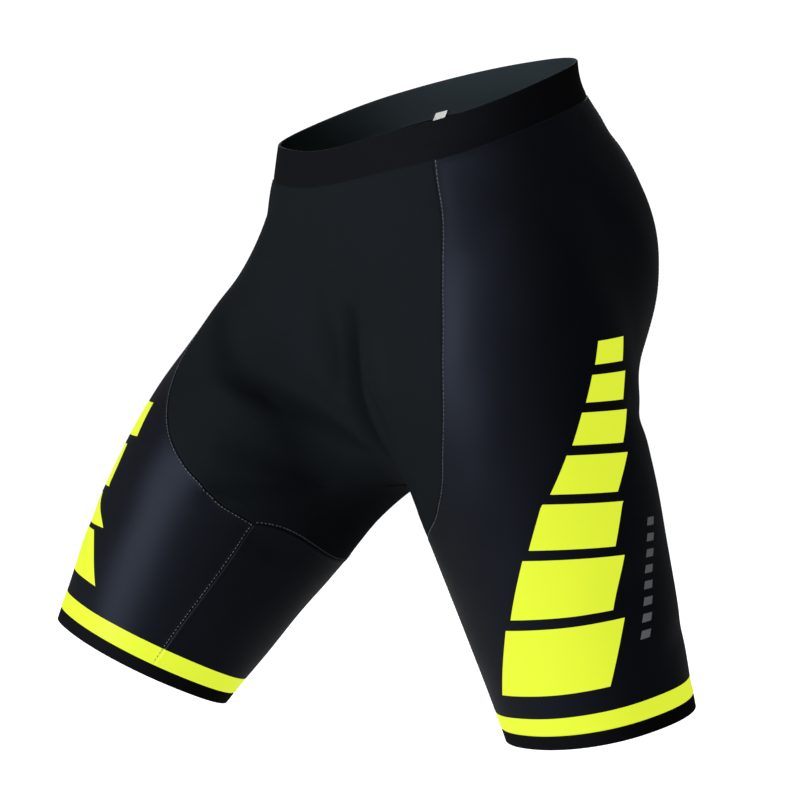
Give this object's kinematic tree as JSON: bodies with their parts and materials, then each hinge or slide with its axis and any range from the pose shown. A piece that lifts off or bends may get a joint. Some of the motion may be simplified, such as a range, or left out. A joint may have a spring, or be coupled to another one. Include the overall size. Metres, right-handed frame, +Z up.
{
  "type": "cycling shorts",
  "caption": "Close-fitting knee-length cycling shorts, filled out as worn in mid stride, held at the waist.",
  "frame": {"origin": "middle of the waist opening, on the plane of the waist's edge, where the wearer's waist holds the shorts", "axes": "+Z up, the wearer faces -Y, the wearer's left is +X; the right leg strides forward"},
  "size_m": [0.4242, 0.3623, 0.4995],
  "materials": {
    "matte_fabric": "matte brushed stretch knit, greenish near-black",
    "sheen_fabric": "smooth stretch knit with a soft sheen, bluish black, with fluorescent yellow print",
    "band_fabric": "dense matte black stretch knit",
    "label_fabric": "plain white woven tab"
  },
  "bodies": {
    "root": {"waistband": "band_fabric", "front_panel_left": "matte_fabric", "back_panel_left": "matte_fabric", "leg_panel_left": "sheen_fabric", "hem_band_left": "band_fabric", "front_panel_right": "matte_fabric", "back_panel_right": "matte_fabric", "leg_panel_right": "sheen_fabric", "hem_band_right": "band_fabric", "label": "label_fabric"}
  },
  "joints": []
}
